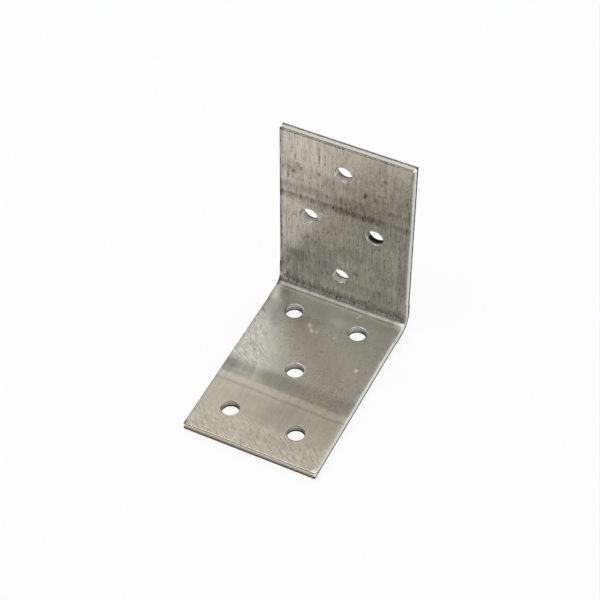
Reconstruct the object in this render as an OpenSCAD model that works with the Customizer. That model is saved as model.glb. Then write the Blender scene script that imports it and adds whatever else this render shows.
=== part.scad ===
// Corner brace bracket: a strip of steel sheet, punched flat and folded once into a right angle.
// Seen flat, the holes run down the strip in rows of two and one in turn, through the fold.
// The bracket lies on its base leg. The origin is under the middle of the base leg, +Z is up,
// the upright leg stands at +Y, and the inner side of both legs is the side that the punch met.

/* [Flat blank] */
// Length of the strip before it is folded
blank_length = 120; // [110:1:150]
// Width of the strip
strip_width = 40; // [34:1:60]
// Thickness of the sheet
sheet = 2.5; // [1.8:0.1:3]
// Rounding of the blank's four corners, seen flat
corner_radius = 0.3; // [0.1:0.1:5]

/* [Fold] */
// Turn of the strip at the fold, 90 for a square corner
fold_turn = 90; // [80:1:100]
// Radius of the fold on its inner side
bend_radius = 2.5; // [1.5:0.1:4]
// Layer that keeps its length in the fold, as a share of the thickness from the inner side
neutral_share = 0.4; // [0.3:0.01:0.5]
// How far the squeezed metal swells sideways at each end of the fold
swell = 0.2; // [0.05:0.05:0.4]
// How far the swelling reaches from the fold's centre
swell_reach = 6; // [5.5:0.5:9]

/* [Holes] */
// Diameter of each screw hole
hole_d = 5; // [3:0.1:6]
// Distance from one row of holes to the next along the flat strip
row_pitch = 20; // [15:0.5:21]
// Rows of holes in each leg
rows_per_leg = 3; // [1:1:3]
// Distance between the two holes of a pair
pair_spacing = 20; // [10:0.5:24]
// How far all the holes lie off the middle of the strip, along X
pattern_side = -0.75; // [-1.5:0.05:1.5]
// How far all the rows lie off the middle of the blank, towards the end of the upright leg
pattern_shift = 0.35; // [-1:0.05:1]

/* [Sheared edges] */
// Radius that the shear rolls onto the outline, on the inner side
edge_roll = 0.45; // [0.1:0.05:0.6]
// Radius that the punch rolls onto the rim of each hole, on the inner side
rim_roll = 0.35; // [0.1:0.05:0.6]
// Height of the torn band that ends each sheared edge at the outer side
tear_height = 0.7; // [0.3:0.1:1]
// How far the torn band leans back from the shear line at the outer side
tear_lean = 0.1; // [0.05:0.05:0.3]

/* [Hidden] */
// Steps round a hole or the fold, and round the small edge rolls
round_steps = 48;
roll_steps = 24;
// Steps round the large circle that domes each end of the fold
dome_steps = 720;
// Reach of each cut past the metal that it removes
clear = 1;
// Distance from the fold's centre to the outer faces, and from its end to the outer corner line
fold_axis = sheet + bend_radius;
setback = fold_axis * tan(fold_turn / 2);
// Stretch of the flat strip that the fold uses up, and what is left flat in each leg
bend_allowance = fold_turn * PI / 180 * (bend_radius + neutral_share * sheet);
leg_flat = (blank_length - bend_allowance) / 2;
// Length of a leg measured outside, from its end to the outer corner line
leg_outer = leg_flat + setback;
hole_r = hole_d / 2;
steel = "#b3ad9f";

// Children are drawn on a flat leg: X across the strip, Y from the end of the fold to the
// leg's own end, and Z from the outer face to the inner face.
module on_base() {
  translate([0, -setback, 0])
    mirror([0, 1, 0])
      children();
}

module on_upright() {
  translate([0, -setback, fold_axis])
    rotate([fold_turn, 0, 0])
      translate([0, 0, -fold_axis])
        children();
}

// What a sheared edge lacks beside a square one: the roll at the inner side and the torn
// band at the outer side. X runs outward from the shear line, and Y from the outer face.
module edge_waste() {
  difference() {
    translate([-edge_roll, sheet - edge_roll])
      square(edge_roll + clear);
    translate([-edge_roll, sheet - edge_roll])
      circle(r = edge_roll, $fn = roll_steps);
  }
  polygon([
    [0, tear_height],
    [-tear_lean, 0],
    [-tear_lean, -clear],
    [clear, -clear],
    [clear, tear_height]
  ]);
}

// Section along a leg, whose own end is sheared like its sides
module end_section(depth) {
  difference() {
    square([depth, sheet]);
    translate([depth, 0])
      edge_waste();
  }
}

// Section across a strip of the given width
module strip_section(width) {
  difference() {
    translate([-width / 2, 0])
      square([width, sheet]);
    for (side = [0, 1])
      mirror([side, 0, 0])
        translate([width / 2, 0])
          edge_waste();
  }
}

// A flat stretch of strip that starts at the end of the fold
module flat_run(width, length) {
  translate([0, length, 0])
    rotate([90, 0, 0])
      linear_extrude(length)
        strip_section(width);
}

// What the two rounded corners at the end of a leg lack beside square ones, seen flat
module corner_waste() {
  corner_x = strip_width / 2 - corner_radius;
  corner_y = leg_flat - corner_radius;
  for (side = [0, 1])
    mirror([side, 0])
      translate([corner_x, corner_y])
        difference() {
          square(corner_radius + clear);
          circle(r = corner_radius, $fn = round_steps);
        }
}

// Flat part of a leg. The strip is sheared straight across, so the rolled and torn bands of
// its end meet those of its sides in a mitre.
module leg() {
  difference() {
    intersection() {
      flat_run(strip_width, leg_flat);
      rotate([90, 0, 90])
        linear_extrude(strip_width + 2 * clear, center = true)
          end_section(leg_flat);
    }
    translate([0, 0, -clear])
      linear_extrude(sheet + 2 * clear)
        corner_waste();
  }
}

// Children are turned shapes, and their own axis is laid along the fold's centre line
module at_fold() {
  translate([0, -setback, fold_axis])
    rotate([0, 90, 0])
      children();
}

module fold(width) {
  at_fold()
    rotate_extrude(angle = fold_turn, $fn = 2 * round_steps)
      translate([fold_axis, 0])
        rotate(90)
          strip_section(width);
}

// A drum about the fold's centre line with shallow domes for its ends
module domed_drum() {
  half_length = strip_width / 2 + swell;
  dome_r = (pow(swell_reach, 2) + pow(swell, 2)) / (2 * swell);
  at_fold()
    rotate_extrude($fn = 2 * round_steps)
      intersection() {
        translate([0, -half_length])
          square([swell_reach, 2 * half_length]);
        translate([0, half_length - dome_r])
          circle(r = dome_r, $fn = dome_steps);
        translate([0, dome_r - half_length])
          circle(r = dome_r, $fn = dome_steps);
      }
}

// The folding squeezes the inner side of the strip, so its edges swell out there. A wider
// strip is cut back by the domes, and comes flush with the edges where the drum ends.
module swollen_fold() {
  wide = strip_width + 2 * swell;
  intersection() {
    union() {
      on_base() flat_run(wide, swell_reach);
      fold(wide);
      on_upright() flat_run(wide, swell_reach);
    }
    domed_drum();
  }
}

// What the punch takes from the sheet: a rolled rim, a straight wall and a torn flare
module punched_hole() {
  rotate_extrude($fn = round_steps) {
    difference() {
      translate([0, sheet - rim_roll])
        square([hole_r + rim_roll, rim_roll + clear]);
      translate([hole_r + rim_roll, sheet - rim_roll])
        circle(r = rim_roll, $fn = roll_steps);
    }
    polygon([
      [0, -clear],
      [hole_r + tear_lean, -clear],
      [hole_r + tear_lean, 0],
      [hole_r, tear_height],
      [hole_r, sheet - rim_roll],
      [0, sheet - rim_roll]
    ]);
  }
}

// Rows of one leg, counted from the fold. Rows of two and one take turns, and the shift is
// how far this leg's rows move outward.
module leg_holes(first_is_pair, shift) {
  for (i = [0 : rows_per_leg - 1]) {
    along = (i + 0.5) * row_pitch + shift - bend_allowance / 2;
    is_pair = (i % 2 == 0) == first_is_pair;
    across = is_pair ? [-pair_spacing / 2, pair_spacing / 2] : [0];
    for (x = across)
      translate([pattern_side + x, along, 0])
        punched_hole();
  }
}

module bracket() {
  color(steel)
    translate([0, leg_outer / 2, 0])
      difference() {
        union() {
          on_base() leg();
          fold(strip_width);
          on_upright() leg();
          swollen_fold();
        }
        on_base() leg_holes(true, -pattern_shift);
        on_upright() leg_holes(false, pattern_shift);
      }
}

bracket();
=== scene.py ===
import math

import bpy
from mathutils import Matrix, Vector

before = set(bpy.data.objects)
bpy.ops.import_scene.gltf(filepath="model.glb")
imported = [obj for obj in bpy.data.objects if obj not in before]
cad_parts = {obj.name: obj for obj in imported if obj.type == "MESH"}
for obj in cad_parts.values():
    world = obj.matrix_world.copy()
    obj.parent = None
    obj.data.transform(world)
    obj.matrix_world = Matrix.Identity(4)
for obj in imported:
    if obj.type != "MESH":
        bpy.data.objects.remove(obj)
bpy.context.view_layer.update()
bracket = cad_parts["bracket"]
bpy.ops.object.select_all(action="DESELECT")


# Camera, at the photograph's place, with the whole bracket in the picture
cameraLook = {
    "place": (0.15172, -0.31459, 0.41377),
    "turn": (42.3972, -0.1801, 25.8981),  # degrees about X, Y and Z
    "lens": 115.536,  # mm
    "sensor": 36,  # mm
    "nearest": 0.01,
    "farthest": 20,
}


def setCamera(look):
    turn = [math.radians(a) for a in look["turn"]]
    bpy.ops.object.camera_add(location=look["place"], rotation=turn)
    camera = bpy.context.object
    camera.name = "camera"
    camera.data.sensor_width = look["sensor"]
    camera.data.lens = look["lens"]
    camera.data.clip_start = look["nearest"]
    camera.data.clip_end = look["farthest"]
    bpy.context.scene.camera = camera


setCamera(cameraLook)
print("camera set")


# Node helpers: each adds nodes to a tree and gives back the socket with the result
def addCalc(tree, operation, first, second=0.0, third=0.0):
    calc = tree.nodes.new("ShaderNodeMath")
    calc.operation = operation
    setInputs(tree, calc.inputs, (first, second, third))
    return calc.outputs[0]


def setInputs(tree, sockets, values):
    for socket, value in zip(sockets, values):
        if isinstance(value, (int, float)):
            socket.default_value = value
        else:
            tree.links.new(value, socket)


def addSum(tree, *values):
    total = values[0]
    for value in values[1:]:
        total = addCalc(tree, "ADD", total, value)
    return total


def addProduct(tree, *values):
    total = values[0]
    for value in values[1:]:
        total = addCalc(tree, "MULTIPLY", total, value)
    return total


def addRest(tree, value, whole=1.0):
    return addCalc(tree, "SUBTRACT", whole, value)


def addRamp(tree, value, low, high, bottom=0.0, top=1.0):
    # a smooth step from bottom at low to top at high
    ramp = tree.nodes.new("ShaderNodeMapRange")
    ramp.interpolation_type = "SMOOTHSTEP"
    flip = low > high
    ramp.inputs["From Min"].default_value = high if flip else low
    ramp.inputs["From Max"].default_value = low if flip else high
    ramp.inputs["To Min"].default_value = top if flip else bottom
    ramp.inputs["To Max"].default_value = bottom if flip else top
    tree.links.new(value, ramp.inputs["Value"])
    return ramp.outputs["Result"]


def addBand(tree, value, start, full, fade, end, height=1.0):
    # at its height between full and fade, and smooth down to 0 at start and end
    band = addProduct(tree, addRamp(tree, value, start, full), addRamp(tree, value, end, fade))
    return band if height == 1.0 else addProduct(tree, band, height)


def addVector(tree, x, y, z=0.0):
    vector = tree.nodes.new("ShaderNodeCombineXYZ")
    setInputs(tree, vector.inputs, (x, y, z))
    return vector.outputs[0]


def addVectorCalc(tree, operation, vector, by):
    calc = tree.nodes.new("ShaderNodeVectorMath")
    calc.operation = operation
    calc.inputs[1].default_value = by
    tree.links.new(vector, calc.inputs[0])
    return calc.outputs["Value"]


def addDimmed(tree, colour, light):
    dimmed = tree.nodes.new("ShaderNodeVectorMath")
    dimmed.operation = "SCALE"
    tree.links.new(colour, dimmed.inputs[0])
    tree.links.new(light, dimmed.inputs["Scale"])
    return dimmed.outputs[0]


def addTint(tree, share, first, second):
    # first where share is 0, second where it is 1; either may be a fixed colour
    tint = tree.nodes.new("ShaderNodeMix")
    tint.data_type = "RGBA"
    for name, value in (("A_Color", first), ("B_Color", second)):
        socket = next(s for s in tint.inputs if s.identifier == name)
        if isinstance(value, tuple):
            socket.default_value = (*value, 1)
        else:
            tree.links.new(value, socket)
    tree.links.new(share, next(s for s in tint.inputs if s.identifier == "Factor_Float"))
    return next(s for s in tint.outputs if s.identifier == "Result_Color")


def addNoise(tree, vector, scale=1.0, detail=2, rough=0.5, twist=0.0):
    noise = tree.nodes.new("ShaderNodeTexNoise")
    noise.inputs["Scale"].default_value = scale
    noise.inputs["Detail"].default_value = detail
    noise.inputs["Roughness"].default_value = rough
    noise.inputs["Distortion"].default_value = twist
    tree.links.new(vector, noise.inputs["Vector"])
    return noise.outputs["Fac"]


def addPattern(tree, vector, pack, turn, shift, detail, rough, twist):
    # a noise turned about the sheet's normal, then packed closer by its three scales
    spin = tree.nodes.new("ShaderNodeMapping")
    spin.inputs["Rotation"].default_value = (0, 0, math.radians(turn))
    tree.links.new(vector, spin.inputs["Vector"])
    packed = tree.nodes.new("ShaderNodeMapping")
    packed.inputs["Scale"].default_value = pack
    packed.inputs["Location"].default_value = shift
    tree.links.new(spin.outputs[0], packed.inputs["Vector"])
    return addNoise(tree, packed.outputs[0], 1.0, detail, rough, twist)


# Studio: a white room, one broad soft lamp, a dark card behind the camera and a plain pale floor
studioLook = {
    "roomColour": (0.98, 0.99, 1.0),
    "roomLight": 0.85,  # strength of the room's own light on dull surfaces
    "roomMirrored": 1.0,  # how bright the room looks in metal
    "lampPlace": (-0.5, -0.35, 1.1),
    "lampAim": (0, 0, 0.02),
    "lampSize": 0.9,
    "lampPower": 3.0,
    "floorPlace": (0, 0, -0.00005),  # just clear of the underside
    "floorSize": 6,
    "floorColour": (0.9, 0.9, 0.9),
    "floorGlow": 0.88,  # share of plain white in the floor as the camera sees it
    "flagPlace": (-0.3, -0.95, 0.62),
    "flagSize": (2.4, 1.15),
    "flagTilt": 68,
    "flagColour": (0.42, 0.42, 0.42),  # the front-facing metal mirrors it
    "dullness": 0.9,  # roughness of the dark card and the floor
}


def addSeenRay(tree):
    # 1 for what the camera sees straight, in metal or through glass
    path = tree.nodes.new("ShaderNodeLightPath")
    seen = addCalc(tree, "MAXIMUM", path.outputs["Is Camera Ray"], path.outputs["Is Glossy Ray"])
    return addCalc(tree, "MAXIMUM", seen, path.outputs["Is Transmission Ray"])


def addShaderMix(tree, share, first, second):
    mix = tree.nodes.new("ShaderNodeMixShader")
    for socket, value in zip(mix.inputs, (share, first, second)):
        tree.links.new(value, socket)
    return mix.outputs[0]


def addBackground(tree, colour, strength):
    background = tree.nodes.new("ShaderNodeBackground")
    background.inputs["Color"].default_value = (*colour, 1)
    background.inputs["Strength"].default_value = strength
    return background.outputs[0]


def setRoom(look):
    world = bpy.data.worlds.new("white room")
    bpy.context.scene.world = world
    world.use_nodes = True
    tree = world.node_tree
    tree.nodes.clear()
    output = tree.nodes.new("ShaderNodeOutputWorld")
    dull = addBackground(tree, look["roomColour"], look["roomLight"])
    seen = addBackground(tree, (1, 1, 1), look["roomMirrored"])
    tree.links.new(addShaderMix(tree, addSeenRay(tree), dull, seen), output.inputs["Surface"])


def setLamp(look):
    bpy.ops.object.light_add(type="AREA", location=look["lampPlace"])
    lamp = bpy.context.object
    lamp.name = "soft lamp"
    lamp.data.shape = "DISK"
    lamp.data.size = look["lampSize"]
    lamp.data.energy = look["lampPower"]
    aim = Vector(look["lampAim"]) - Vector(look["lampPlace"])
    lamp.rotation_euler = aim.to_track_quat("-Z", "Y").to_euler()


def makeDull(name, colour, look):
    dull = bpy.data.materials.new(name)
    dull.use_nodes = True
    shader = dull.node_tree.nodes["Principled BSDF"]
    shader.inputs["Base Color"].default_value = (*colour, 1)
    shader.inputs["Roughness"].default_value = look["dullness"]
    return dull


def setFlag(look):
    tilt = (math.radians(look["flagTilt"]), 0, 0)
    bpy.ops.mesh.primitive_plane_add(size=1, location=look["flagPlace"], rotation=tilt)
    flag = bpy.context.object
    flag.name = "dark card"
    flag.scale = (*look["flagSize"], 1)
    flag.visible_camera = False
    flag.data.materials.append(makeDull("dark card", look["flagColour"], look))


def setFloor(look):
    bpy.ops.mesh.primitive_plane_add(size=look["floorSize"], location=look["floorPlace"])
    floor = bpy.context.object
    floor.name = "floor"
    paint = makeDull("pale floor", look["floorColour"], look)
    tree = paint.node_tree
    glow = tree.nodes.new("ShaderNodeEmission")
    glow.inputs["Color"].default_value = (1, 1, 1, 1)
    share = addProduct(tree, addSeenRay(tree), look["floorGlow"])
    pale = addShaderMix(tree, share, tree.nodes["Principled BSDF"].outputs[0], glow.outputs[0])
    # clear from below, so that the underside can be looked at
    side = tree.nodes.new("ShaderNodeNewGeometry")
    clear = tree.nodes.new("ShaderNodeBsdfTransparent")
    oneSided = addShaderMix(tree, side.outputs["Backfacing"], pale, clear.outputs[0])
    tree.links.new(oneSided, tree.nodes["Material Output"].inputs["Surface"])
    floor.data.materials.append(paint)


setRoom(studioLook)
setLamp(studioLook)
setFlag(studioLook)
setFloor(studioLook)
print("room, lamp, dark card and floor set")


# Steel sheet. The pattern is laid out in millimetres on the bracket's own axes: x across the strip,
# run along it (y on the base leg, z on the upright), and depth into the sheet from its inner side.
# A share of darkness is taken off the tone; below 0 it lightens.
steelLook = {
    "sheet": 2.5,
    "foldY": 26.1256,  # centre line of the fold
    "foldZ": 5.0,
    "bendRadius": 2.5,
    "uprightFace": 28.6256,  # y of the upright's inner face
    "innerSide": (0.25, 0.02),  # depths between which the inner side's marks come in
    "frontEnd": (-30.4, -30.8),  # y between which the base leg's front end comes in
    "longSides": (19.4, 19.7),  # the same to the left and right, for the two long sides
    # tones
    # each leg has its own tones of the same steel, set apart by painted light and shade
    "baseTone": (0.53, 0.52, 0.462),
    "uprightTone": (0.498, 0.487, 0.447),  # the upright's tone of the same steel, darker and greyer: painted shade, from the fold up
    "baseWarmTone": (0.488, 0.448, 0.366),  # the beige cast at the ends of the legs
    "uprightWarmTone": (0.528, 0.489, 0.417),
    "burnishTone": (0.64, 0.61, 0.53),  # the straight band that the shear polishes, at the top
    "sideTone": (1.0, 0.99, 0.93),  # the same band along the two long sides
    "frontTone": (0.58, 0.52, 0.45),  # the same band at the base leg's front end
    "tornTone": (0.19, 0.18, 0.165),  # the torn band at the outer side, at the top
    "sideTornTone": (0.08, 0.075, 0.07),
    "frontTornTone": (0.13, 0.105, 0.09),
    "grazeTint": (0.5, 0.5, 0.5),  # dulls what grazes the worn edges
    "darkest": 0.1,  # least light left on a face
    # noises: scales across, along and into the sheet, turn in degrees, shift, detail, roughness, twist
    "patterns": {
        "longStreaks": ((0.9, 0.05, 0.3), 0, (0, 0, 0), 3, 0.6, 0),
        "fineStreaks": ((2.6, 0.22, 0.6), 0, (7, 3, 1), 4, 0.65, 0),
        "clouds": ((0.12, 0.10, 0.2), 0, (2, 5, 0), 4, 0.55, 0),
        "mottle": ((0.9, 0.6, 0.5), 0, (11, 1, 4), 5, 0.6, 0),
        "grain": ((4.5, 2.2, 1.5), 0, (5, 9, 2), 3, 0.6, 0),
        "dashes": ((1.7, 0.36, 0.5), 2, (3, 8, 6), 3, 0.6, 0),
        "hairs": ((1.9, 0.36, 0.5), -51, (4, 4, 4), 4, 0.66, 0.4),
        "crossHairs": ((2.2, 0.5, 0.5), 40, (1, 6, 4), 2, 0.6, 0.2),
        "wave": ((0.1, 0.02, 0), 0, (0, 0, 0), 2, 0.5, 0),
    },
    # darkness of a noise on the base leg, and how much more on the upright
    "streakShade": {
        "longStreaks": (0.25, 0.35), "fineStreaks": (0.08, 1.0), "clouds": (0.30, 0.0),
        "mottle": (0.10, 0.35), "grain": (0.12, 0.20),
    },
    # bands: where each starts, is full, fades and ends, and its darkness
    # base leg: a dark band, then the painted highlight and painted shade line of the crease; upright: a dark
    # band and the painted shade line of its crease
    "basePress": [
        (-10.0, -8.8, -5.6, -2.2, 0.27), (-11.5, -10.9, -10.3, -9.6, -0.04),
        (-13.0, -12.3, -12.0, -11.4, 0.17),
    ],
    "uprightPress": [(36.8, 38.0, 42.8, 45.2, 0.26), (37.6, 39.1, 39.6, 40.6, 0.28)],
    "pressSlope": -0.03,  # how far the upright's bands slope, per mm across
    "pressWave": 1.2,
    "fold": (28.7, 29.4, 30.4, 31.8, 0.62),  # painted shade along the fold, dimming its reflection, by y plus z
    # painted shade, then painted light, in bands just above the fold on the upright, by z
    "foldTop": [(3.55, 3.8, 4.1, 4.4, 0.16), (4.3, 4.8, 5.4, 6.2, -0.20)],
    "dashesNearFold": (2.2, 2.9, 4.2, 11.0, 0.6),
    "dashes": (0.55, 0.68),  # noise at which a dash starts and is full, and the same near the fold
    "thickDashes": (0.40, 0.62),
    "dashShade": 0.36,
    "hairShade": 1.9,
    "crossHairShade": 0.5,
    "hairsLeft": (-7.0, -13.0),  # by x plus half of y
    "hairsLeftStart": (-6.0, -2.0),  # y
    "hairsFront": (-18.0, -26.0, 0.0, 0.8),  # y, and their share
    "warmBase": (-2.0, -16.0),  # y on the base leg, and z less x on the upright
    "warmUpright": (18.0, 52.0),
    "warmClouds": 0.8,
    "greyRise": 5.0,  # length over which the upright turns greyer
    "spotNoise": 1.6,  # scale of the noise that breaks up the marks, and how far it shifts them
    "spotShift": 1.4,
    "roll": (0.01, 0.12, 0.58, 0.82, 0.55),  # painted shade along the rolled outline, by depth
    "rollRight": (1.35, -0.25),  # share of it that the right side loses, past 1 a painted highlight, and how much more on the upright
    "rollRightSide": (19.0, 19.5),
    "rollFront": 0.9,
    "rollLeft": (-18.6, -19.3, 0.0, 0.35),  # more of it on the left side and at the top
    "rollTop": (61.3, 61.9, 0.0, 0.16),
    "leftShade": (0.14, 0.24),  # darker strip along the left side
    "leftStrip": (-18.6, -19.7),
    "rightStrip": (18.4, 19.5, 0.0, -0.17),  # painted highlight along the base leg's right side
    "frontStrip": (-30.5, -30.75),  # painted shade along the roll at its front end, by y and by depth
    "frontLine": (0.3, 0.2, 0.0, 0.08),
    "edge": (0.22, 0.42, 2.47, 2.49),  # depths of the sheared edge
    "edgeGrain": 0.5,
    "frontDark": (0.5, 1.8, -0.06, 0.76),  # the front end darkens with depth
    "tear": (1.62, 1.85),  # depths between which the torn band comes in
    "tearSwing": 0.7,
    "tearSides": 0.35,  # how much earlier it does on the long sides
    "tornGrain": (0.35, 0.7, 0.5, 2.4),
    "roughness": 0.28,
    "roughMottle": 0.25,  # what the mottle, the torn band and the marks add to it
    "roughTorn": 0.25,
    "roughSpots": 0.3,
    "reliefStrength": 0.6,
    "reliefHeight": 0.00004,
    "reliefStreaks": 0.5,  # shares in the relief
    "reliefMottle": (0.4, 0.4),
    "reliefGrain": 0.25,
    "reliefPress": -2.0,
    "reliefHairs": -0.6,
}

# Broad patches of painted light and shade, partly uneven tone of the sheet, as the small marks below
uprightPatches = [
    (-16.0, 24.0, 4.5, 13.0, 0, 0.09), (-12.0, 47.5, 9.0, 4.0, 0, 0.12), (-14.5, 15.5, 4.5, 4.5, 0, 0.20),
    (-14.0, 58.0, 5.0, 4.5, 0, -0.06), (16.0, 60.0, 4.5, 4.0, 0, -0.06), (-17.0, 10.0, 4.5, 4.5, 0, 0.20),
    (-9.0, 10.0, 4.0, 3.0, 0, 0.16), (3.0, 12.0, 12.0, 5.0, 0, 0.10), (14.0, 8.5, 5.0, 4.0, 0, 0.06),
    (-6.0, 14.0, 3.5, 3.0, 0, 0.14), (13.0, 10.0, 4.0, 3.5, 0, 0.14), (-2.0, 47.5, 5.0, 3.5, 0, 0.16),
    (10.0, 41.0, 6.0, 3.0, 0, -0.08), (4.0, 33.0, 14.0, 3.0, 0, 0.06), (-16.0, 49.8, 3.0, 2.4, 0, 0.16),
    (-13.5, 18.5, 3.0, 7.0, 0, 0.09), (-9.5, 22.5, 3.2, 6.5, 0, 0.14), (2.0, 22.5, 5.0, 3.2, 0, 0.14),
    (18.2, 16.5, 1.8, 8.0, 0, 0.23), (-19.6, 24.0, 0.7, 9.0, 0, 0.16), (-18.0, 31.0, 1.2, 1.8, 0, 0.12),
    (-12.0, 42.6, 9.0, 1.7, 0, 0.10), (-1.0, 44.0, 3.5, 1.5, 0, 0.10), (2.0, 9.8, 15.0, 2.6, 0, 0.10),
    (6.5, 47.5, 5.5, 2.6, 0, 0.12), (8.0, 19.0, 5.0, 6.0, 0, 0.08), (-18.5, 13.5, 1.8, 5.5, 0, 0.18),
    (16.5, 40.5, 4.5, 3.5, 0, -0.24), (9.4, 31.2, 2.9, 2.9, 0, 0.16), (-9.0, 36.4, 6.0, 1.1, 0, 0.22),
    (-16.0, 38.2, 4.0, 0.9, 0, -0.18), (-7.0, 31.0, 4.0, 2.0, 0, 0.12),
]
basePatches = [
    (-17.0, 19.5, 3.6, 7.0, 0, 0.22), (-4.0, -6.5, 9.0, 2.6, 0, 0.13), (-19.7, 19.0, 0.7, 9.0, 0, 0.16),
    (-15.0, -8.0, 5.0, 2.0, 0, 0.08), (-8.0, -17.0, 9.0, 3.5, 0, 0.07), (14.0, -19.0, 6.0, 6.0, 0, 0.08),
    (-16.5, -1.0, 3.5, 3.0, 0, -0.10), (8.0, 8.0, 9.0, 10.0, 0, 0.02), (-12.0, -8.2, 5.5, 1.4, 0, -0.12),
    (-13.6, 13.5, 2.2, 2.2, 0, 0.14), (-14.0, 3.5, 5.0, 4.5, 0, -0.07), (19.0, -10.0, 1.5, 4.0, 0, -0.10),
    (-9.6, -5.0, 1.6, 4.0, 0, -0.16), (-16.6, 22.0, 3.0, 2.2, 0, -0.10), (-3.0, -15.7, 6.0, 2.5, 0, 0.05),
    (14.0, 12.0, 7.0, 12.0, 0, -0.07), (-17.5, 0.0, 2.5, 4.0, 0, 0.10), (-18.6, 24.5, 1.6, 3.0, 0, -0.18),
    (-14.0, 16.0, 2.5, 3.0, 0, 0.08), (-18.0, -5.8, 2.6, 1.7, 0, 0.20), (4.0, -17.5, 6.0, 5.0, 0, 0.13),
    (-3.5, -20.8, 5.0, 2.4, 0, 0.12), (3.0, -26.0, 9.0, 1.5, 0, 0.08), (3.0, 22.5, 5.0, 3.0, 0, -0.06),
    (2.0, 23.0, 22.0, 4.0, 0, -0.17), (3.0, 9.0, 14.0, 10.0, 0, -0.06),
]

# Small marks: x, run, half width, half length, turn in degrees, darkness
uprightMarks = [
    (-16.9, 49.3, 0.35, 1.3, 55, 0.30), (-15.4, 48.0, 0.45, 0.9, 60, 0.32),
    (-14.4, 51.0, 0.28, 0.9, 25, 0.34), (-13.3, 49.9, 0.35, 0.75, 10, 0.40),
    (-16.4, 55.1, 0.25, 1.0, 5, 0.30), (-12.0, 55.4, 0.22, 2.4, 2, 0.20),
    (-7.9, 56.2, 0.25, 3.2, 1, 0.38), (-7.3, 56.0, 0.22, 2.6, 1, -0.16), (-7.9, 49.8, 0.55, 0.6, 0, 0.36),
    (-6.1, 57.3, 0.3, 0.5, 0, 0.26), (-6.1, 54.3, 0.3, 0.6, 0, 0.26), (7.6, 57.0, 0.5, 0.6, 0, 0.16),
    (10.3, 56.2, 0.25, 0.8, -20, 0.22), (11.5, 55.8, 0.25, 0.7, 20, 0.20), (11.0, 56.1, 0.35, 0.4, 0, -0.20),
    (11.9, 55.1, 0.7, 0.75, 0, 0.38), (6.1, 47.9, 0.85, 1.0, 0, 0.38), (5.2, 47.2, 0.4, 0.4, 0, 0.22),
    (9.4, 47.1, 0.75, 0.9, 0, 0.38), (9.9, 46.3, 0.35, 0.4, 0, 0.28), (1.7, 61.3, 0.4, 0.4, 0, 0.18),
    (19.6, 60.5, 0.7, 1.6, 0, 0.3), (-11.2, 24.5, 0.5, 0.8, 10, 0.30), (-7.6, 25.0, 0.5, 0.9, 15, 0.42),
    (-9.0, 24.2, 0.35, 0.4, 0, -0.18), (-4.35, 33.5, 0.16, 3.4, 1, 0.26), (-1.3, 42.3, 0.25, 1.6, 4, 0.30),
    (-3.0, 45.5, 0.18, 3.2, 1, 0.20), (5.6, 38.3, 0.2, 1.4, 3, 0.30), (16.9, 27.8, 0.6, 0.5, 30, 0.26),
    (3.7, 15.9, 0.85, 0.65, -15, 0.36), (4.6, 15.4, 0.5, 0.4, 0, 0.26), (-14.2, 15.6, 2.6, 2.6, 0, 0.13),
    (-16.4, 16.0, 1.6, 1.8, 0, 0.12), (-17.4, 45.5, 0.22, 2.6, 1, 0.30), (-7.9, 6.8, 1.2, 1.6, 0, 0.16),
    (9.3, 6.6, 1.3, 1.4, 0, 0.20), (18.9, 57.0, 0.3, 3.8, 0, 0.26), (18.8, 26.5, 0.3, 3.2, 2, 0.28),
    (-13.2, 34.6, 0.25, 0.5, 0, 0.2),
]
baseMarks = [
    (-4.4, 16.2, 0.6, 1.0, 35, -0.48), (-3.1, 14.7, 0.65, 1.1, 30, -0.50), (-1.4, 14.8, 0.55, 0.7, 0, -0.34),
    (4.2, 15.0, 0.7, 0.6, 0, -0.30), (6.9, 25.2, 0.4, 1.1, -15, -0.40), (7.5, 20.9, 0.7, 0.45, 20, -0.40),
    (14.7, 6.5, 0.6, 0.75, 0, -0.52), (12.6, 22.4, 0.25, 0.5, 0, -0.2), (2.2, 20.5, 1.8, 1.5, 0, -0.06),
    (-0.4, 2.85, 0.6, 0.35, 25, 0.30), (-13.9, 12.3, 0.3, 1.1, -45, 0.18), (-14.3, 8.0, 0.3, 0.8, 40, 0.18),
    (-14.4, 1.2, 0.22, 1.7, 50, 0.34), (-16.6, 3.2, 0.22, 1.6, 52, 0.26), (-18.2, 3.4, 0.3, 0.6, -20, 0.24),
    (-11.5, 4.5, 0.25, 1.3, 35, 0.18), (-11.3, -26.3, 0.3, 0.9, 20, 0.16), (-15.5, -26.3, 0.4, 0.8, 30, 0.18),
    (-7.3, -26.3, 0.35, 0.9, 15, 0.16), (3.0, -24.6, 0.4, 0.6, 0, 0.14), (19.3, 12.0, 0.5, 0.9, 0, -0.22),
    # painted light round the fold's right end, a painted glint there and one at the front-right corner
    (19.0, 27.2, 2.0, 2.2, 0, -0.32), (19.8, 27.6, 0.7, 1.4, 0, -0.7), (19.4, -30.5, 0.8, 0.8, 0, -0.6),
    (-19.8, -30.6, 0.6, 0.6, 0, 0.5),
]


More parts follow.
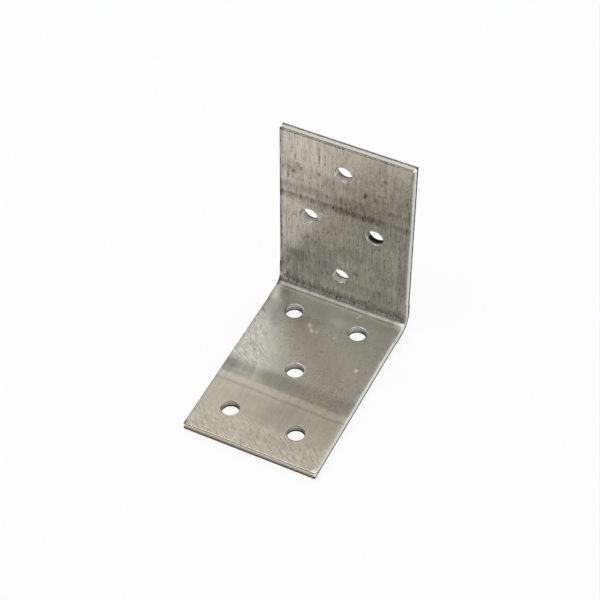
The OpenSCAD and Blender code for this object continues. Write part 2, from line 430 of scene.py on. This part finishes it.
def addPlaces(tree, look):
    coordinates = tree.nodes.new("ShaderNodeTexCoord")
    millimetres = tree.nodes.new("ShaderNodeMapping")
    millimetres.inputs["Scale"].default_value = (1000, 1000, 1000)
    tree.links.new(coordinates.outputs["Object"], millimetres.inputs["Vector"])
    split = tree.nodes.new("ShaderNodeSeparateXYZ")
    tree.links.new(millimetres.outputs[0], split.inputs[0])
    x, y, z = split.outputs

    # depth below the inner side, round the fold too
    behind = addCalc(tree, "MAXIMUM", addCalc(tree, "SUBTRACT", y, look["foldY"]), 0.0)
    below = addCalc(tree, "MAXIMUM", addRest(tree, z, look["foldZ"]), 0.0)
    squares = addSum(tree, addProduct(tree, behind, behind), addProduct(tree, below, below))
    depth = addCalc(tree, "SUBTRACT", addCalc(tree, "SQRT", squares), look["bendRadius"])

    along = addSum(tree, y, z)
    onUpright = addCalc(tree, "GREATER_THAN", along, look["uprightFace"] + look["sheet"])
    return {
        "x": x, "y": y, "z": z, "depth": depth, "along": along,
        "onUpright": onUpright, "onBase": addRest(tree, onUpright),
        "inner": addRamp(tree, depth, *look["innerSide"]),
        "strip": addVector(tree, x, along, addProduct(tree, depth, 3.0)),
        "atFront": addRamp(tree, y, *look["frontEnd"]),
        "onSide": addRamp(tree, addCalc(tree, "ABSOLUTE", x), *look["longSides"]),
    }


def addByLeg(tree, at, share):
    # a share on the base leg, and how much more on the upright
    return addSum(tree, share[0], addProduct(tree, at["onUpright"], share[1]))


def addUneven(tree, noise):
    # darkness that swings round 0, dark where the noise is low
    return addRest(tree, noise, 0.5)


def addSwing(tree, noise, width):
    return addProduct(tree, addCalc(tree, "SUBTRACT", noise, 0.5), width)


def addInHole(tree, at, holes):
    # 1 within a hole's rim, by the distance from the nearest hole's centre
    nearest = {}
    for leg, run in (("base", at["y"]), ("upright", at["z"])):
        vector = addVector(tree, at["x"], run)
        gaps = [addVectorCalc(tree, "DISTANCE", vector, (*centre, 0)) for centre in holes[leg]]
        nearest[leg] = gaps[0]
        for gap in gaps[1:]:
            nearest[leg] = addCalc(tree, "MINIMUM", nearest[leg], gap)
    onBase = addProduct(tree, nearest["base"], at["onBase"])
    onUpright = addProduct(tree, nearest["upright"], at["onUpright"])
    rim = holes["radius"] + holes["rimRoll"]
    return addRamp(tree, addSum(tree, onBase, onUpright), rim, rim - 0.25)


def addMark(tree, vector, mark):
    # a soft oval; the vector is x, run and 1, so that one dot product turns, moves and scales it
    x, run, halfWidth, halfLength, turn, darkness = mark
    c, s = math.cos(math.radians(turn)), math.sin(math.radians(turn))
    byWidth = (c / halfWidth, s / halfWidth, -(x * c + run * s) / halfWidth)
    byLength = (-s / halfLength, c / halfLength, (x * s - run * c) / halfLength)
    across = addVectorCalc(tree, "DOT_PRODUCT", vector, byWidth)
    lengthwise = addVectorCalc(tree, "DOT_PRODUCT", vector, byLength)
    spread = addCalc(tree, "MULTIPLY_ADD", lengthwise, lengthwise, addProduct(tree, across, across))
    return addRamp(tree, spread, 1.5, 0.12, 0.0, darkness)


def addMarks(tree, vector, marks):
    # each mark is added on before the next is made, which keeps the shader small
    total = addMark(tree, vector, marks[0])
    for mark in marks[1:]:
        total = addSum(tree, total, addMark(tree, vector, mark))
    return total


def addSpots(tree, look, at):
    # marks pressed in and scuffed on, with the broad patches of painted light and shade and the painted
    # glints, their outlines broken up by a little noise
    shift = addSwing(tree, addNoise(tree, at["strip"], look["spotNoise"]), look["spotShift"])
    x, y, z = [addSum(tree, at[name], shift) for name in ("x", "y", "z")]
    onBase = addMarks(tree, addVector(tree, x, y, 1.0), basePatches + baseMarks)
    onUpright = addMarks(tree, addVector(tree, x, z, 1.0), uprightPatches + uprightMarks)
    both = addSum(tree, addProduct(tree, onBase, at["onBase"]), addProduct(tree, onUpright, at["onUpright"]))
    return addProduct(tree, at["inner"], both)


def addDashes(tree, look, at, dashNoise):
    # short dark dashes on the upright, thickest just above the fold
    nearFold = addBand(tree, at["z"], *look["dashesNearFold"])
    thick = addProduct(tree, nearFold, addRamp(tree, dashNoise, *look["thickDashes"]))
    share = addSum(tree, addRamp(tree, dashNoise, *look["dashes"]), thick)
    return addProduct(tree, share, at["onUpright"], look["dashShade"], at["inner"])


def addHairs(tree, look, at, hairs, crossHairs):
    # slanting hairline scratches, on the base leg's left side and its front end
    leftward = addSum(tree, addProduct(tree, at["y"], 0.5), at["x"])
    left = addRamp(tree, leftward, *look["hairsLeft"])
    left = addProduct(tree, left, addRamp(tree, at["y"], *look["hairsLeftStart"]))
    front = addRamp(tree, at["y"], *look["hairsFront"])
    mask = addProduct(tree, at["onBase"], addCalc(tree, "MAXIMUM", left, front), at["inner"])
    shade = addSum(
        tree, addProduct(tree, addUneven(tree, hairs), look["hairShade"]),
        addProduct(tree, addUneven(tree, crossHairs), look["crossHairShade"]))
    return addProduct(tree, mask, shade)


def addPress(tree, look, at, waveNoise):
    # press lines across both legs, where the folding tool held the strip: dark bands, with each crease's
    # painted highlight and painted shade beside it
    wave = addSwing(tree, waveNoise, look["pressWave"])
    basePlace = addSum(tree, at["y"], wave)
    uprightPlace = addSum(tree, at["z"], wave, addProduct(tree, at["x"], look["pressSlope"]))
    onBase = addSum(tree, *[addBand(tree, basePlace, *band) for band in look["basePress"]])
    onUpright = addSum(tree, *[addBand(tree, uprightPlace, *band) for band in look["uprightPress"]])
    both = addSum(tree, addProduct(tree, at["onBase"], onBase), addProduct(tree, at["onUpright"], onUpright))
    return addProduct(tree, at["inner"], both)


def addFoldShadeAndLight(tree, look, at):
    # painted shade along the inner fold, dimming its reflection, and painted shade and light in bands just
    # above it on the upright
    bottom = addProduct(tree, at["inner"], addBand(tree, at["along"], *look["fold"]))
    bands = addSum(tree, *[addBand(tree, at["z"], *band) for band in look["foldTop"]])
    return addSum(tree, bottom, addProduct(tree, at["inner"], at["onUpright"], bands))


def addRoll(tree, look, at, inHole):
    # painted shade along the rolled outline, most on the left and weak at the front; on the right side it
    # turns to a painted highlight
    right = addRamp(tree, at["x"], *look["rollRightSide"])
    right = addProduct(tree, right, addByLeg(tree, at, look["rollRight"]))
    front = addProduct(tree, at["atFront"], look["rollFront"])
    share = addSum(
        tree, addProduct(tree, addRest(tree, right), addRest(tree, front)),
        addRamp(tree, at["x"], *look["rollLeft"]), addRamp(tree, at["z"], *look["rollTop"]))
    return addProduct(tree, addBand(tree, at["depth"], *look["roll"]), share, addRest(tree, inHole))


def addStrips(tree, look, at):
    # on the faces beside the edges: painted shade on the front end's roll, a darker strip along the left side
    # and a painted highlight along the base leg's right side
    front = addRamp(tree, at["y"], *look["frontStrip"])
    front = addProduct(tree, front, addRamp(tree, at["depth"], *look["frontLine"]))
    left = addByLeg(tree, at, look["leftShade"])
    left = addProduct(tree, left, addRamp(tree, at["x"], *look["leftStrip"]))
    right = addProduct(tree, at["onBase"], addRamp(tree, at["x"], *look["rightStrip"]))
    return addSum(tree, front, addProduct(tree, at["inner"], addSum(tree, left, right)))


def addFaceTone(tree, look, at, clouds):
    # beige at the ends of the legs, olive near the fold; the two legs' tones differ by painted light and
    # shade
    slant = addCalc(tree, "SUBTRACT", at["z"], at["x"])
    baseEnd = addRamp(tree, at["y"], *look["warmBase"])
    ends = addCalc(tree, "MAXIMUM", baseEnd, addRamp(tree, slant, *look["warmUpright"]))
    cloudy = addSwing(tree, clouds, look["warmClouds"])
    upTheFold = addRamp(tree, at["along"], look["uprightFace"], look["uprightFace"] + look["greyRise"])
    plain = addTint(tree, upTheFold, look["baseTone"], look["uprightTone"])
    warm = addTint(tree, at["onUpright"], look["baseWarmTone"], look["uprightWarmTone"])
    return addTint(tree, addSum(tree, ends, cloudy), plain, warm)


def addEdgeTone(tree, look, at, grain, torn, rollShadeAndLight):
    # the sheared edges: burnished band and torn band
    polished = addTint(tree, at["atFront"], look["burnishTone"], look["frontTone"])
    polished = addTint(tree, at["onSide"], polished, look["sideTone"])
    frontDark = addProduct(tree, at["atFront"], addRamp(tree, at["depth"], *look["frontDark"]))
    dark = addSum(tree, addProduct(tree, addUneven(tree, grain), look["edgeGrain"]), rollShadeAndLight, frontDark)
    ragged = addTint(tree, at["atFront"], look["tornTone"], look["frontTornTone"])
    ragged = addTint(tree, at["onSide"], ragged, look["sideTornTone"])
    burnished = addDimmed(tree, polished, addRest(tree, dark))
    ragged = addDimmed(tree, ragged, addRamp(tree, grain, *look["tornGrain"]))
    return addTint(tree, torn, burnished, ragged)


# Holes in the base leg and the upright leg: x and run of each centre
holeLook = {
    "base": [(-10.75, 19.2244), (9.25, 19.2244), (-0.75, -0.7756), (-10.75, -20.7756), (9.25, -20.7756)],
    "upright": [(-0.75, 12.6011), (-10.75, 32.6011), (9.25, 32.6011), (-0.75, 52.6011)],
    "radius": 2.5,
    "rimRoll": 0.35,
    "column": 0.75,  # how far left the columns of holes stand
    "columnPitch": 5.0,
    "baseWall": 0.42,  # how light the walls are against the faces: painted shade in the holes
    "uprightWall": 0.68,
    "rightWall": 0.03,  # the upright's right hole, its wall in deep painted shade
    "rightHole": (3.5, 5.5),  # x
    "tornShare": 0.25,  # how light the torn flares are
    "tear": (1.9, 2.15),  # depths between which the flares come in, and the same on the base leg
    "baseTear": (1.3, 1.9),
    "baseTearShare": (-12.0, -8.0, 1.0, 0.5),  # y, and its share
    "baseTurn": (-1.5, 2.2, 1.35, 0.3),  # left to right in a hole, how light its walls are: painted light and shade by side
    "uprightTurn": (-1.0, 0.6, 0.8, 1.0),
    "baseWallDepth": (0.0, 1.1),  # depths between which the walls come in
    "uprightWallDepth": (0.15, 0.6),
    "rightWallDepth": (0.0, 1.2),
    "shadedRim": (0.0, 0.03, 0.25, 0.5, -0.12),  # painted shade and painted highlight in bands by depth, as in the steel
    "shadedRimSide": (-1.0, 1.0),
    "litRim": (0.02, 0.12, 0.25, 0.5, 0.12),
    "litRimSide": (5.0, 3.5),
    "glint": (-2.05, -2.4, 0.0, 0.45),  # painted glint at the left in the upright's holes
}


def addWallLight(tree, holes, at, inHole, tearLine):
    # painted light and shade within the holes' rims: walls darker than the faces and lighter on one side;
    # each hole stands on the same grid of x, so its left and right are known
    x, depth, onBase, onUpright = at["x"], at["depth"], at["onBase"], at["onUpright"]
    pitch = holes["columnPitch"]
    holeX = addCalc(tree, "WRAP", addSum(tree, x, holes["column"]), pitch, -pitch)

    frontHoles = addRamp(tree, at["y"], *holes["baseTearShare"])
    baseTorn = addProduct(tree, onBase, addRamp(tree, tearLine, *holes["baseTear"]), frontHoles)
    torn = addCalc(tree, "MAXIMUM", addRamp(tree, tearLine, *holes["tear"]), baseTorn)

    left, right, leftLight, rightLight = holes["baseTurn"]
    wall = holes["baseWall"]
    baseLight = addRamp(tree, holeX, left, right, leftLight * wall, rightLight * wall)
    fall = addRamp(tree, x, *holes["rightHole"], 1 - holes["uprightWall"], 1 - holes["rightWall"])
    fall = addProduct(tree, addRamp(tree, depth, *holes["rightWallDepth"]), fall)
    uprightLight = addProduct(tree, addRamp(tree, holeX, *holes["uprightTurn"]), addRest(tree, fall))
    light = addSum(tree, addProduct(tree, onBase, baseLight), addProduct(tree, onUpright, uprightLight))
    light = addProduct(tree, light, addRest(tree, addProduct(tree, torn, 1 - holes["tornShare"])))

    baseDepth = addProduct(tree, onBase, addRamp(tree, depth, *holes["baseWallDepth"]))
    uprightDepth = addProduct(tree, onUpright, addRamp(tree, depth, *holes["uprightWallDepth"]))
    onWall = addCalc(tree, "MAXIMUM", uprightDepth, baseDepth)
    dark = addProduct(tree, onWall, addRest(tree, light))

    # rims: painted shade at the right on the base leg, painted highlights on the upright and a painted glint
    # at the left in the upright's holes
    dull = addProduct(tree, onBase, addRamp(tree, holeX, *holes["shadedRimSide"]))
    dull = addProduct(tree, dull, addBand(tree, depth, *holes["shadedRim"]))
    bright = addProduct(tree, onUpright, addRamp(tree, x, *holes["litRimSide"]))
    bright = addProduct(tree, bright, addBand(tree, depth, *holes["litRim"]))
    leftGlint = addProduct(tree, onUpright, addRamp(tree, holeX, *holes["glint"]))
    change = addCalc(tree, "SUBTRACT", addSum(tree, dull, bright, leftGlint), dark)
    return addSum(tree, 1.0, addProduct(tree, inHole, change))


def makeSteel(look, holes):
    steel = bpy.data.materials.new("worn steel sheet")
    steel.use_nodes = True
    tree = steel.node_tree
    shader = tree.nodes["Principled BSDF"]
    shader.inputs["Metallic"].default_value = 1
    shader.inputs["Specular Tint"].default_value = (*look["grazeTint"], 1)

    at = addPlaces(tree, look)
    inHole = addInHole(tree, at, holes)
    noise = {name: addPattern(tree, at["strip"], *values) for name, values in look["patterns"].items()}
    spots = addSpots(tree, look, at)
    hairs = addHairs(tree, look, at, noise["hairs"], noise["crossHairs"])
    press = addPress(tree, look, at, noise["wave"])
    rollShadeAndLight = addRoll(tree, look, at, inHole)

    # faces
    streaks = [
        addProduct(tree, addUneven(tree, noise[name]), addByLeg(tree, at, share))
        for name, share in look["streakShade"].items()
    ]
    shade = addSum(
        tree, *streaks, spots, addDashes(tree, look, at, noise["dashes"]), hairs, press,
        addFoldShadeAndLight(tree, look, at), rollShadeAndLight, addStrips(tree, look, at))
    light = addCalc(tree, "MAXIMUM", addRest(tree, shade), look["darkest"])
    faceTone = addDimmed(tree, addFaceTone(tree, look, at, noise["clouds"]), light)

    # sheared edges; the torn band starts at an uneven line, nearer on the sides
    tearLine = addSum(tree, at["depth"], addSwing(tree, noise["mottle"], look["tearSwing"]))
    sideTear = addProduct(tree, at["onSide"], look["tearSides"])
    torn = addRamp(tree, addSum(tree, tearLine, sideTear), *look["tear"])
    edgeTone = addEdgeTone(tree, look, at, noise["grain"], torn, rollShadeAndLight)
    onEdge = addBand(tree, at["depth"], *look["edge"])
    bandTone = addTint(tree, addProduct(tree, onEdge, addRest(tree, inHole)), faceTone, edgeTone)

    # holes
    colour = addDimmed(tree, bandTone, addWallLight(tree, holes, at, inHole, tearLine))
    tree.links.new(colour, shader.inputs["Base Color"])

    rough = addSum(
        tree, addSwing(tree, noise["mottle"], look["roughMottle"]), addProduct(tree, torn, look["roughTorn"]),
        addProduct(tree, addCalc(tree, "ABSOLUTE", spots), look["roughSpots"]), look["roughness"])
    tree.links.new(rough, shader.inputs["Roughness"])

    height = addSum(
        tree, addProduct(tree, noise["fineStreaks"], look["reliefStreaks"]),
        addProduct(tree, noise["mottle"], addByLeg(tree, at, look["reliefMottle"])),
        addProduct(tree, noise["grain"], look["reliefGrain"]),
        addProduct(tree, press, look["reliefPress"]), addProduct(tree, hairs, look["reliefHairs"]))
    relief = tree.nodes.new("ShaderNodeBump")
    relief.inputs["Strength"].default_value = look["reliefStrength"]
    relief.inputs["Distance"].default_value = look["reliefHeight"]
    tree.links.new(height, relief.inputs["Height"])
    tree.links.new(relief.outputs[0], shader.inputs["Normal"])
    return steel


steel = makeSteel(steelLook, holeLook)
bracket.data.materials.clear()
bracket.data.materials.append(steel)
for slot in bracket.material_slots:
    slot.link = "OBJECT"
    slot.material = steel
print("steel made,", len(steel.node_tree.nodes), "nodes")

bpy.context.scene.view_settings.view_transform = "Standard"
